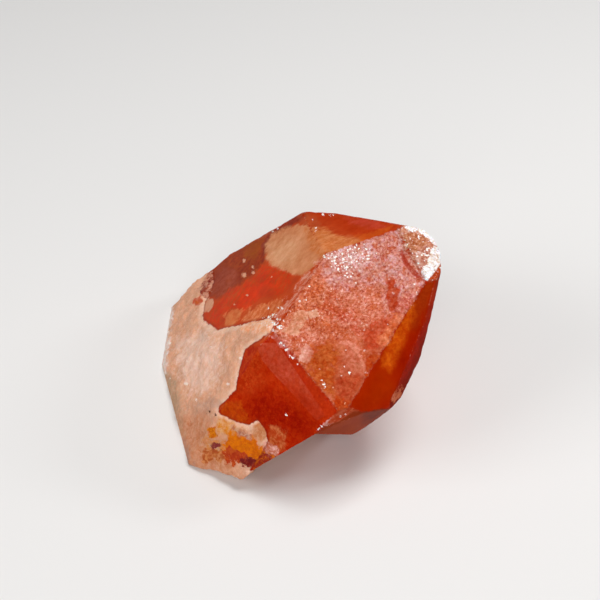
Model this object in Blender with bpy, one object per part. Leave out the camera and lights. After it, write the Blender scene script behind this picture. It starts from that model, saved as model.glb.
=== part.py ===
"""Red quartz crystal: a single natural point with a milky, rough root, standing on its broken base.

Lengths below are in millimetres and angles in degrees; the scene is in metres, with +Z up.
The crystal is first cut from a block by its faces, as a stone is cut. Each face is named and placed as on a
crystal drawing: by its turn about the long axis, by the angle between its outward direction and that axis,
and by its distance from the crystal's centre. The rough milky root is then raised on the result.
"""

import math

import bmesh
import bpy
from mathutils import Matrix, Vector, noise

MM = 0.001
NAME = "crystal"

# How the crystal stands: the long axis leans towards +X, and the crystal is turned about that axis.
LEAN = 35.5
TURN = -139.3
BASE_DEPTH = 11.2  # from the centre down to the flat broken base that it rests on

# The angles of quartz: a pyramid face and a prism face, each against the long axis.
PYRAMID = 51.8
PRISM = 90.0

# Turn about the long axis, angle against the long axis, distance from the centre.
TIP_FACES = {
    "broad front pyramid": (0.0, PYRAMID, 17.5),
    "right pyramid": (60.0, PYRAMID, 24.0),
    "top pyramid": (-60.0, PYRAMID, 15.2),
    "back pyramid": (180.0, PYRAMID, 18.9),
    "upper back pyramid": (-139.3, 48.4, 18.5),
    "upper back ledge": (-144.0, 39.9, 20.1),
    "chipped tip": (5.4, 37.1, 21.9),
    "chipped tip, right rim": (39.6, 29.3, 25.9),
    "chipped tip, top rim": (-21.7, 25.5, 23.9),
    "chipped tip, top end": (-104.2, 37.2, 19.8),
    "chipped tip, right end": (159.5, 43.2, 22.8),
    "chipped tip, far end": (-170.6, 31.1, 24.0),
}
BODY_FACES = {
    "front prism": (0.0, PRISM, 17.3),
    "growth band on the front prism": (-0.5, 84.0, 17.5),
    "upper left face": (-50.1, 81.0, 9.3),
    "small lower prism": (60.0, PRISM, 24.5),
    "lower right face": (76.8, 101.8, 21.0),
    "right side, upper strip": (87.5, 54.1, 24.2),
    "right side, lower strip": (87.9, 59.1, 23.5),
    "right back, upper": (142.3, 74.9, 13.4),
    "right back, middle": (135.9, 73.0, 15.0),
    "right back, lower": (130.2, 81.8, 14.5),
    "right back prism": (128.0, PRISM, 13.1),
    "back prism": (180.0, PRISM, 15.6),
    "upper left back": (-104.6, 65.6, 18.8),
    "left back": (-95.2, 84.4, 21.5),
}
ROOT_FACES = {
    "milky face, upper": (-47.9, 85.0, 10.0),
    "milky face, lower": (-34.7, 95.1, 12.1),
    "break under the front": (85.0, 139.4, 20.4),
    "break under the right": (99.2, 117.4, 16.3),
    "lower right corner": (106.5, 94.8, 17.8),
    "lower right edge": (105.7, 98.1, 17.4),
    "lower right foot": (107.4, 104.7, 16.2),
}
# A shallow hollow is broken out of the lower right edge, between these two planes.
HOLLOW_FACES = {
    "hollow, left side": (105.7, 104.5, 12.2),
    "hollow, right side": (73.5, 139.9, 13.5),
}

# The edge of the milky quartz as it crosses the front: distance across from the centre, then height along
# the long axis.
MILKY_EDGE = (
    (-40.0, -18.0),
    (-22.9, -18.0),
    (-19.1, -13.6),
    (-12.9, -10.7),
    (-7.7, -6.5),
    (-5.1, -2.4),
    (-3.0, 1.1),
    (-0.4, 5.2),
    (1.7, 7.1),
    (2.4, 5.8),
    (2.0, 4.1),
    (0.9, 0.2),
    (1.9, -1.5),
    (4.6, -4.5),
    (4.4, -7.2),
    (3.8, -9.4),
    (5.5, -9.3),
    (8.5, -7.7),
    (9.9, -6.5),
    (10.3, -4.8),
    (12.3, -4.9),
    (13.6, -5.7),
    (14.1, -7.9),
    (14.6, -11.6),
    (40.0, -12.0),
)
MILKY_BACK_HEIGHT = -10.0  # where that edge runs round the back
BACK_BLEND = (4.0, -6.0)  # the front edge gives way to the back one between these depths
WAVE_SIZE, WAVE_HEIGHT = 9.0, 1.6  # the waves in its edge at the back

# Relief of the milky root.
CRUST = 0.35  # the root stands this far above the red faces
CRUST_EDGE = 0.9  # over this width
LUMP_SIZE, LUMP_HEIGHT = 7.0, 0.45
GRAIN_SIZE, GRAIN_HEIGHT = 2.2, 0.22
RELIEF_FADE = 1.5  # the relief fades out this close above the base, which stays flat
NOISE_SEED = Vector((3.1, 7.7, 1.9))

# Mesh spacing in the root, and how fast it grows away from it.
FINE_SPACING = 1.05
SPACING_GROWTH = 0.8
REFINE_ROUNDS = 9
FLAT_ANGLE = 0.001  # two faces that meet at less than this, in radians, lie in one plane
NEAR = 0.001  # points this close to a plane lie on it
BLOCK = 200.0

STAND = Matrix.Rotation(math.radians(LEAN), 3, "Y") @ Matrix.Rotation(math.radians(TURN), 3, "Z")


def clear_scene():
    for old in list(bpy.data.objects):
        bpy.data.objects.remove(old, do_unlink=True)


def named_collection(name, hidden=False):
    collection = bpy.data.collections.new(name)
    collection.hide_render = hidden
    bpy.context.scene.collection.children.link(collection)
    return collection


def outward(turn, slope):
    """The outward direction of a face, with the long axis along Z."""
    turn, slope = math.radians(turn), math.radians(slope)
    return Vector((math.sin(slope) * math.cos(turn), math.sin(slope) * math.sin(turn), math.cos(slope)))


def cut(bm, direction, distance, keep_outside=False):
    """Cuts the solid by a plane, keeps one side of it and closes the opening."""
    bmesh.ops.bisect_plane(
        bm,
        geom=bm.verts[:] + bm.edges[:] + bm.faces[:],
        dist=NEAR / 100.0,
        plane_co=direction * distance,
        plane_no=direction,
        clear_outer=not keep_outside,
        clear_inner=keep_outside,
    )
    open_edges = [edge for edge in bm.edges if edge.is_boundary]
    bmesh.ops.holes_fill(bm, edges=open_edges)


def block_cut_by(faces, keep_outside=False):
    bm = bmesh.new()
    bmesh.ops.create_cube(bm, size=BLOCK)
    for turn, slope, distance in faces.values():
        cut(bm, STAND @ outward(turn, slope), distance, keep_outside)
    return bm


def object_from(bm, name, collection):
    bmesh.ops.recalc_face_normals(bm, faces=bm.faces)
    mesh = bpy.data.meshes.new(name)
    bm.to_mesh(mesh)
    bm.free()
    thing = bpy.data.objects.new(name, mesh)
    collection.objects.link(thing)
    return thing


def faceted_crystal(collection):
    bm = block_cut_by(TIP_FACES | BODY_FACES | ROOT_FACES)
    cut(bm, Vector((0.0, 0.0, -1.0)), BASE_DEPTH)
    return object_from(bm, NAME, collection)


def hollow_cutter(collection):
    cutter = object_from(block_cut_by(HOLLOW_FACES, keep_outside=True), "hollow_cutter", collection)
    cutter.hide_render = True
    cutter.display_type = "WIRE"
    return cutter


def take_out(thing, cutter):
    """Applies a Boolean difference to the object's own mesh."""
    modifier = thing.modifiers.new("hollow", "BOOLEAN")
    modifier.operation = "DIFFERENCE"
    modifier.solver = "EXACT"
    modifier.object = cutter
    evaluated = thing.evaluated_get(bpy.context.evaluated_depsgraph_get())
    cut_mesh = bpy.data.meshes.new_from_object(evaluated)
    thing.modifiers.remove(modifier)
    old_mesh = thing.data
    thing.data = cut_mesh
    bpy.data.meshes.remove(old_mesh)
    cut_mesh.name = NAME


def smooth(value):
    value = min(max(value, 0.0), 1.0)
    return value * value * (3.0 - 2.0 * value)


def from_milky_edge(across, height):
    """Distance to the milky edge on the front, positive on the milky side."""
    nearest = math.inf
    below = False
    for (x0, y0), (x1, y1) in zip(MILKY_EDGE, MILKY_EDGE[1:]):
        along_x, along_y = x1 - x0, y1 - y0
        share = ((across - x0) * along_x + (height - y0) * along_y) / (along_x**2 + along_y**2)
        share = min(max(share, 0.0), 1.0)
        nearest = min(nearest, math.hypot(across - x0 - share * along_x, height - y0 - share * along_y))
        if (x0 > across) != (x1 > across):
            below ^= height < y0 + (across - x0) * along_y / along_x
    return nearest if below else -nearest


def milky_depth(point):
    """How far a point lies inside the milky root, in millimetres. It is negative on the red crystal."""
    depth, across, height = STAND.transposed() @ point
    on_front = from_milky_edge(across, height)
    waves = WAVE_HEIGHT * noise.noise(Vector((depth, across, 0.0)) / WAVE_SIZE + NOISE_SEED)
    on_back = MILKY_BACK_HEIGHT + waves - height
    start, end = BACK_BLEND
    blend = smooth((depth - start) / (end - start))
    return on_front * (1.0 - blend) + on_back * blend


def wanted_spacing(point):
    """Spacing of the mesh: fine in the root and wider with distance from it."""
    return FINE_SPACING + SPACING_GROWTH * max(0.0, -milky_depth(point) - CRUST_EDGE)


def on_base(point):
    return point.z < -BASE_DEPTH + NEAR


def faces_down(face):
    return face.normal.z < NEAR - 1.0


def long_edges(bm):
    """The edges to be split. Those inside the flat base are left alone."""
    found = []
    for edge in bm.edges:
        ends = [corner.co for corner in edge.verts]
        if all(on_base(end) for end in ends) and all(faces_down(face) for face in edge.link_faces):
            continue
        if edge.calc_length() > wanted_spacing((ends[0] + ends[1]) / 2.0):
            found.append(edge)
    return found


def refine(bm):
    """Splits the long edges of the root until its relief can be raised on them."""
    bmesh.ops.triangulate(bm, faces=bm.faces)
    for _ in range(REFINE_ROUNDS):
        edges = long_edges(bm)
        if not edges:
            return
        bmesh.ops.subdivide_edges(bm, edges=edges, cuts=1)
        bmesh.ops.triangulate(bm, faces=bm.faces)
        flat = [edge for edge in bm.edges if edge.calc_face_angle(math.pi) < FLAT_ANGLE]
        bmesh.ops.beautify_fill(bm, faces=bm.faces, edges=flat)
        bm.normal_update()


def relief(point):
    """Height of the root's surface above the flat face at a point."""
    depth = milky_depth(point)
    crust = CRUST * smooth(depth / CRUST_EDGE)
    inside = smooth(depth / (2.0 * CRUST_EDGE))
    lumps = LUMP_HEIGHT * noise.noise(point / LUMP_SIZE + NOISE_SEED)
    grains = GRAIN_HEIGHT * noise.noise(point / GRAIN_SIZE - NOISE_SEED)
    fade = smooth((point.z + BASE_DEPTH) / RELIEF_FADE)
    return (crust + inside * (lumps + grains)) * fade


def raise_root(thing):
    bm = bmesh.new()
    bm.from_mesh(thing.data)
    refine(bm)
    moves = [corner.normal * relief(corner.co) for corner in bm.verts]
    for corner, move in zip(bm.verts, moves):
        corner.co += move
    bm.to_mesh(thing.data)
    bm.free()


def stand_on_origin(thing):
    """Puts the middle of the crystal's box over the origin and its base at height zero, in metres."""
    corners = [vertex.co for vertex in thing.data.vertices]
    low = [min(corner[axis] for corner in corners) for axis in range(3)]
    high = [max(corner[axis] for corner in corners) for axis in range(3)]
    middle = Vector(((low[0] + high[0]) / 2.0, (low[1] + high[1]) / 2.0, low[2]))
    thing.data.transform(Matrix.Scale(MM, 4) @ Matrix.Translation(-middle))


def red_quartz():
    material = bpy.data.materials.new("red_quartz")
    material.use_nodes = True
    shader = material.node_tree.nodes["Principled BSDF"]
    shader.inputs["Base Color"].default_value = (0.46, 0.11, 0.05, 1.0)
    shader.inputs["Roughness"].default_value = 0.3
    shader.inputs["Metallic"].default_value = 0.0
    return material


def build():
    clear_scene()
    crystal = faceted_crystal(named_collection("red_quartz_crystal"))
    take_out(crystal, hollow_cutter(named_collection("cutters", hidden=True)))
    raise_root(crystal)
    stand_on_origin(crystal)
    crystal.data.materials.append(red_quartz())


build()
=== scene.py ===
"""Looks of the red quartz crystal: its fine surface, its coloured zones, soft studio light and the camera.

Lengths are in millimetres unless a name says otherwise, and the scene is in metres. The places of the
coloured zones on the side that the photograph shows are given in its pixels. A fixed projection, made once
when the script runs, turns them into distances on the surface, so they stay on the stone in every view.
"""

import math

import bmesh
import bpy
import numpy as np
from mathutils import Matrix, Vector, kdtree, noise


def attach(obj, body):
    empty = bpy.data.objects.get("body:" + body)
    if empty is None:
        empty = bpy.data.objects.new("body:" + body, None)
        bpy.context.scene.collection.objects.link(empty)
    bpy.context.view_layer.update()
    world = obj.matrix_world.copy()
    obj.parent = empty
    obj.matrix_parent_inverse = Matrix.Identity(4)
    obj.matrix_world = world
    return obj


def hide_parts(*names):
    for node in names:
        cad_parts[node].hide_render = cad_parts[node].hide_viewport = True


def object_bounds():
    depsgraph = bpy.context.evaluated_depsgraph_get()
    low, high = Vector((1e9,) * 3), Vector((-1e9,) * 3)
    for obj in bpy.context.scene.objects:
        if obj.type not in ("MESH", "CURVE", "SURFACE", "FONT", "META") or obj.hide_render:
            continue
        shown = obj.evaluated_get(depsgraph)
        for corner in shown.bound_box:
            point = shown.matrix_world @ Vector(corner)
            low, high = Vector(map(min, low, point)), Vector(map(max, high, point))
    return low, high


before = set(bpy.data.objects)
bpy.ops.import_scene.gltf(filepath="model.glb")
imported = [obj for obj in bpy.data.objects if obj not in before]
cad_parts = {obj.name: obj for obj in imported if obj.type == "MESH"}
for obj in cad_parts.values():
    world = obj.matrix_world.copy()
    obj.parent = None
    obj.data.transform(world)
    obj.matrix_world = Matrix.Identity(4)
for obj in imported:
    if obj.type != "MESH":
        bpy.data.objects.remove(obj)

cad_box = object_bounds()

MM = 0.001
NODE = "crystal"
BODY = "root"

# The photograph: its size, the camera's distance in pixels, and the size of a pixel at the crystal.
PHOTO_SIZE = 600
PHOTO_DISTANCE = 1400.0
PIXEL = 0.155
CAMERA_AZIMUTH = -7.34
CAMERA_ELEVATION = 39.02
CAMERA_TARGET = Vector((0.61, -3.18, 19.57))
SENSOR = 36.0
CLIP_START = 0.01

# How the crystal stands: the long axis leans towards +X, and the crystal is turned about that axis.
LEAN = 35.5
TURN = -139.3
CENTRE = Vector((0.12, -0.90, 11.2))
STAND = Matrix.Rotation(math.radians(LEAN), 3, "Y") @ Matrix.Rotation(math.radians(TURN), 3, "Z")

# The faces that have their own colour, by turn about the long axis and angle against it.
FACETS = {
    "frosted_face": ((0.0, 51.8),),
    "top_face": ((-60.0, 51.8),),
    "upper_left_face": ((-50.1, 81.0),),
    "lower_left_face": ((0.0, 90.0), (-0.5, 84.0)),
    "root_side": ((-34.7, 95.1), (-47.9, 85.0)),
    "right_face": ((60.0, 51.8),),
    "right_strip": ((87.5, 54.1), (87.9, 59.1)),
    "lower_right_face": ((76.8, 101.8), (60.0, 90.0)),
    "chipped_tip": ((5.4, 37.1), (39.6, 29.3), (-21.7, 25.5), (-104.2, 37.2)),
}
ROOT_FACES = FACETS["root_side"]
SAME_DIRECTION = 0.9995

# The edge of the milky quartz as it crosses the front: distance across from the centre, then height along
# the long axis. The solid has the same edge.
MILKY_EDGE = (
    (-40.0, -18.0), (-22.9, -18.0), (-19.1, -13.6), (-12.9, -10.7), (-7.7, -6.5), (-5.1, -2.4),
    (-3.0, 1.1), (-0.4, 5.2), (1.7, 7.1), (2.4, 5.8), (2.0, 4.1), (0.9, 0.2), (1.9, -1.5), (4.6, -4.5),
    (4.4, -7.2), (3.8, -9.4), (5.5, -9.3), (8.5, -7.7), (9.9, -6.5), (10.3, -4.8), (12.3, -4.9),
    (13.6, -5.7), (14.1, -7.9), (14.6, -11.6), (40.0, -12.0),
)
# The outline of the milky part is closed this far out, well off the crystal.
FAR = 60.0
# At the back the edge has a height of its own, with waves. The front gives way to it between two depths.
MILKY_BACK_HEIGHT = -10.0
BACK_BLEND = (4.0, -6.0)
WAVE_SIZE, WAVE_HEIGHT = 9.0, 1.6
NOISE_SEED = Vector((3.1, 7.7, 1.9))

# Mesh spacing: as the photograph shows it on the side that it shows, and measured on the surface elsewhere.
WELD_DISTANCE = 0.001
FINE_SPACING = 0.34
COARSE_SPACING = 0.75
REFINE_ROUNDS = 9
FLAT_ANGLE = math.radians(1.0)
SHARP_ANGLE = math.radians(28.0)

# Edges that meet at less than the angle aren't worn, nor are those inside the root. Distances to the others
# are measured from points a step apart.
WORN_ANGLE = math.radians(9.0)
WORN_STEP = 0.12
ROOT_MARGIN = 0.2

# Heights or depths of the relief, each with the size of its features. A shift moves a noise off the others.
GROWTH_HEIGHT, GROWTH_SIZE = 0.05, 2.6
PIT_DEPTH, PIT_SIZE, PIT_SHIFT = 0.07, 0.9, 5.0
SWELL_HEIGHT, SWELL_SIZE = 0.03, 5.0
STEP_HEIGHT, STEP_SIZE = 0.24, 1.9
CRUMB_HEIGHT, CRUMB_SIZE, CRUMB_SHIFT = 0.12, 0.7, -3.0
CHIP_DEPTH, CHIP_WIDTH, CHIP_SIZE = 0.07, 0.4, 1.3
CHIP_SHARE, CHIP_CONTRAST, CHIP_MOST = 0.2, 1.5, 1.2
FROST_START, FROST_FADE = -0.1, 0.4
ROOT_START, ROOT_FADE = -0.2, 0.4
BASE_FADE = 1.5
SHOWN_FADE = 0.12

# Sizes of the noises in the stone. The streaks are drawn out along the crystal by STREAK_LENGTH.
BROAD_SIZE, RAGGED_SIZE, FINE_SIZE = 5.0, 1.9, 0.5
MOTTLE_SIZE, GRAIN_SIZE, VARIED_SIZE = 1.1, 0.38, 0.9
BLOTCH_SIZE, PATCH_SIZE, STREAK_SIZE = 1.4, 3.4, 0.9
CLOUD_SIZE, LINE_SIZE, BUMP_GRAIN_SIZE = 7.0, 1.0, 0.55
STREAK_LENGTH = 5.0

# Layers that a value brings out: where a layer starts, where it is full, and how much it covers there.
LAYERS = {
    "second_colour": (0.44, 0.58, 1.0),
    "hidden_orange": (0.35, 0.65, 1.0),
    "hidden_cloud": (0.53, 0.68, 0.75),
    "hidden_smoke": (0.44, 0.32, 0.7),
    "salmon": (0.49, 0.38, 0.7),
    "pink": (0.52, 0.64, 0.6),
    "lines": (0.12, 0.03, 0.6),
    "line_places": (0.42, 0.6, 1.0),
    "dark_grains": (0.46, 0.4, 0.85),
    "pale_grains": (0.54, 0.62, 0.75),
    "veils": (0.54, 0.72, 0.06),
    "wear_and_glint": (0.0, -0.2, 0.5),
    "root": (-0.08, 0.12, 1.0),
    "lip_shadow": (-0.5, -0.05, 0.5),
    "root_shade": (0.4, 0.6, 1.0),
    "root_streaks": (0.5, 0.66, 0.1),
    "root_blotches": (0.47, 0.34, 0.5),
    "root_lip_highlight": (1.0, 0.3, 0.5),
    "root_pale_grains": (0.52, 0.68, 0.55),
    "root_dark_grains": (0.47, 0.34, 0.4),
}
# Changes with a noise: where the change starts and ends, and its value before and after.
MOTTLE = (0.36, 0.58, 0.55, 1.0)
PALE_GRAIN_PLACES = (0.36, 0.56, 0.45, 1.0)
FROST_ROUGHNESS = (0.35, 0.65, 0.5, 0.25)
# How grainy the tip and the lower left face are beside the frosted face.
TIP_GRAIN, LOWER_LEFT_GRAIN = 0.8, 0.6

# How far the noises move an edge: ragged for the coarse noise, fray for the fine one.
FACET_RAGGED, FACET_FRAY, FACET_BLUR = 0.25, 0.22, 0.15
ROOT_RAGGED, ROOT_FRAY = 0.15, 0.12
WEAR_AND_GLINT_RAGGED, WEAR_AND_GLINT_FRAY = 0.25, 0.2
ZONE_FRAY = 0.3

# How much the noises deepen a colour, and the limits of the sum.
BROAD_DEPTH, RAGGED_DEPTH, STREAK_DEPTH = 0.1, 0.12, 0.03
CLEAR_DEPTH, GRAINY_DEPTH = 0.045, 0.3
ROOT_RAGGED_DEPTH, ROOT_FINE_DEPTH = 0.06, 0.09
LEAST_DEPTH, MOST_DEPTH = 0.45, 1.6

# Sparkles, which are glints painted into the colour: the sizes of their cells, the share of cells that
# sparkle, and how far they reach in a cell.
SPARKLE_SIZES = (0.42, 0.27)
GRAINY_SPARKLES, ROOT_SPARKLES = 0.012, 0.006
SPARKLE_REACH, SPARKLE_FRAY, SPARKLE_BLUR = (0.2, 0.5), 0.5, 0.08

# Spots: how far a noise bends them, in pixels of the photograph, and where they start and are full in radii.
SPOT_BEND, SPOT_BEND_SIZE, SPOT_FRAY = 4.5, 0.3, 0.5
SPOT_REACH, SPOT_HEART = 1.1, 0.6

# The surface: roughness, gloss, fine bumps and the light that goes into the stone.
GLASS_ROUGHNESS, TIP_ROUGHNESS, ROOT_ROUGHNESS = 0.12, 0.2, 0.5
SHINE, HIDDEN_GLOSS, GLOSS_ROUGHNESS = 0.01, 0.2, 0.08
QUARTZ_IOR = 1.54
BUMP_HEIGHT, BROAD_BUMP, ROOT_FINE_BUMP, ROOT_GRAIN_BUMP = 0.1, 0.15, 0.2, 0.35
GLOW_SHARE, GLOW_DEPTH, GLOW_RADIUS = 0.25, 0.5, (1.0, 0.35, 0.2)

# Colours of the stone.
DEEP_RED = (0.42, 0.02, 0.003)
ORANGE_RED = (0.52, 0.06, 0.008)
CLOUD = (0.62, 0.26, 0.13)
SMOKY_BROWN = (0.26, 0.045, 0.014)
DARK_SPECK = (0.34, 0.035, 0.018)
PALE_SPECK = (0.86, 0.53, 0.43)
# The pale worn edge is partly wear and partly a painted glint.
WORN_EDGE_AND_GLINT = (0.72, 0.3, 0.2)
SALMON = (0.56, 0.1, 0.025)
PINK = (0.7, 0.27, 0.175)
CRIMSON = (0.46, 0.05, 0.025)
VEIL = (0.58, 0.06, 0.007)
# A thin painted shadow just outside the lip of the milky root.
LIP_SHADOW = (0.22, 0.015, 0.005)
# GLINT and SOFT_GLINT are painted highlights: glints painted into the colour.
GLINT = (0.97, 0.93, 0.9)
PALE_DOT = (0.72, 0.33, 0.19)
SOFT_GLINT = (0.93, 0.74, 0.64)
BLACK_DOT = (0.1, 0.03, 0.015)
MAROON_DOT = (0.2, 0.012, 0.01)
CREAM = (0.79, 0.395, 0.245)
CREAM_DARK = (0.66, 0.33, 0.205)
CREAM_LIGHT = (0.92, 0.63, 0.48)
FACET_COLOURS = {
    "frosted_face": (0.59, 0.135, 0.06),
    "top_face": (0.46, 0.045, 0.008),
    "upper_left_face": (0.54, 0.056, 0.006),
    "lower_left_face": (0.43, 0.017, 0.0015),
    # root_side has a colour of its own, set to make up for the shade that falls on it: painted light.
    "root_side": (0.47, 0.02, 0.0),
    "right_face": (0.38, 0.016, 0.0),
    "right_strip": (0.19, 0.007, 0.0),
    "lower_right_face": (0.3, 0.038, 0.008),
    "chipped_tip": (0.62, 0.27, 0.17),
}
SECOND_FACET_COLOURS = {
    "frosted_face": (0.65, 0.18, 0.1),
    "lower_left_face": (0.48, 0.03, 0.003),
    # Painted light for root_side as above: set to make up for its shade.
    "root_side": (0.4, 0.012, 0.0),
}


class Zone:
    """A zone: its outline in pixels of the photograph, and how it fades and frays, in millimetres.

    A zone with facets lies on these alone. One with a second colour is mottled with it. The group says when
    the zone is painted: with the red faces, late (over the grains of the frosted face) or on the root.
    """

    def __init__(
        self, facets, colour, outline, soft=0.3, ragged=0.6, strength=1.0, second=None, group="red"
    ):
        self.group = group
        self.facets = facets
        self.colour = colour
        self.second = second
        self.outline = outline
        self.soft = soft
        self.ragged = ragged
        self.strength = strength


FROSTED = ("frosted_face",)
UPPER = ("top_face", "upper_left_face")
TOP = ("top_face",)
UPPER_LEFT = ("upper_left_face",)
RIGHT = ("right_face", "right_strip")
LOWER_RIGHT = ("lower_right_face",)
LOWER_LEFT = ("lower_left_face", "root_side")
TIP = ("chipped_tip",)

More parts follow.
